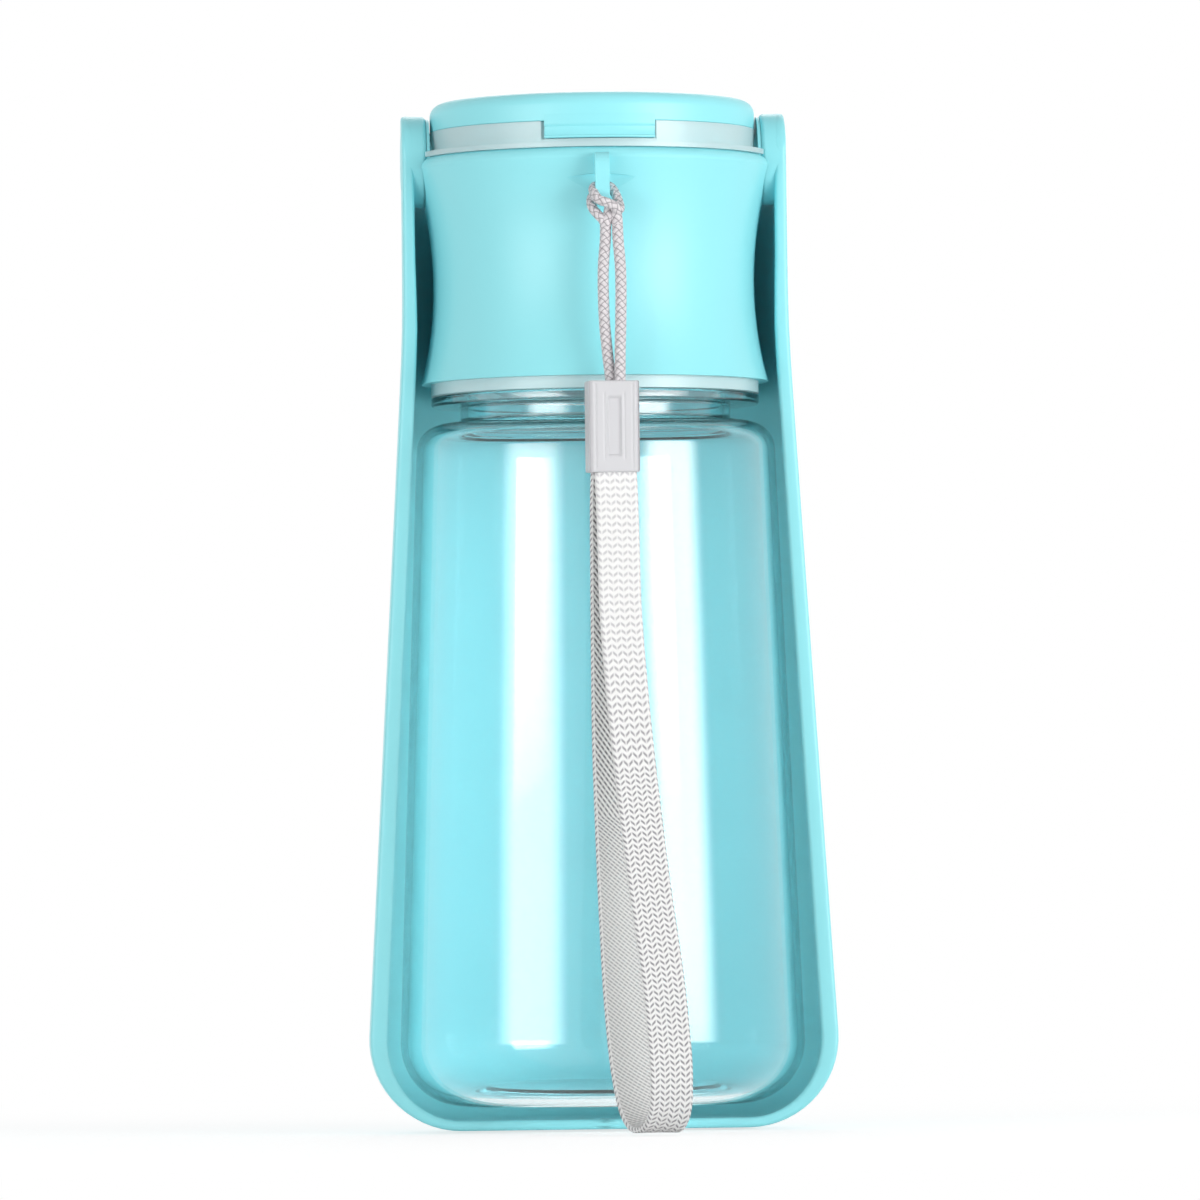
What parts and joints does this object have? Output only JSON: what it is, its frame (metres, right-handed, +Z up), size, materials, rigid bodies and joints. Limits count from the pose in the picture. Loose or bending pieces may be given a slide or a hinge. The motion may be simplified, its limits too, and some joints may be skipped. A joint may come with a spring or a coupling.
{
  "type": "dog travel water bottle",
  "caption": "Clear travel water bottle with a waisted screw collar, a flip lid, a drinking trough that folds round the bottle on side pivots, and a wrist strap.",
  "frame": {"origin": "on the underside of the trough's floor, on the axis of the bottle", "axes": "+Z up along the bottle's axis, front with the strap towards -Y, pivots along X"},
  "size_m": [0.0932, 0.1051, 0.2051],
  "materials": {
    "aqua_plastic": "satin moulded polypropylene",
    "clear_plastic": "clear glossy moulding",
    "frosted_plastic": "translucent frosted moulding",
    "silicone": "matt soft silicone",
    "grey_plastic": "satin",
    "braided_cord": "braided polyester",
    "webbing": "woven polyester in a herringbone",
    "steel": "drawn wire"
  },
  "bodies": {
    "head": {"collar": "aqua_plastic", "mouth_ring": "frosted_plastic", "neck_insert": "frosted_plastic", "tube_seal": "silicone", "pivot_pin_left": "aqua_plastic", "pivot_pin_right": "aqua_plastic", "friction_washer_left": "silicone", "friction_washer_right": "silicone", "lid_hinge_pin": "steel", "cord_hitch": "braided_cord"},
    "trough": {"trough": "aqua_plastic"},
    "lid": {"lid": "aqua_plastic", "lid_seal": "silicone"},
    "neck_seal": {"neck_seal": "silicone"},
    "bottle": {"bottle": "clear_plastic"},
    "strap": {"clip_front": "grey_plastic", "clip_back": "grey_plastic", "cord_left": "braided_cord", "cord_right": "braided_cord", "strap_webbing": "webbing"}
  },
  "joints": [
    {"name": "trough_fold", "type": "hinge", "parent": "head", "child": "trough", "pos_m": [0, 0, 0.1936], "axis": [1, 0, 0], "range_deg": [0, 180]},
    {"name": "lid_flip", "type": "hinge", "parent": "head", "child": "lid", "pos_m": [0, 0.0338, 0.1985], "axis": [-1, 0, 0], "range_deg": [0, 120]},
    {"name": "seal_drop", "type": "slide", "parent": "head", "child": "neck_seal", "axis": [0, 0, -1], "range_m": [0, 0.0025]},
    {"name": "bottle_unscrew", "type": "hinge", "parent": "neck_seal", "child": "bottle", "pos_m": [0, 0, 0.15], "axis": [0, 0, -1], "range_deg": [0, 360]},
    {"name": "strap_swing", "type": "hinge", "parent": "head", "child": "strap", "pos_m": [0, -0.0384, 0.1802], "axis": [-1, 0, 0], "range_deg": [0, 90]}
  ],
  "couplings": [
    {"joint": "seal_drop", "follows": "bottle_unscrew", "m_per_rad": 0.0003978}
  ]
}
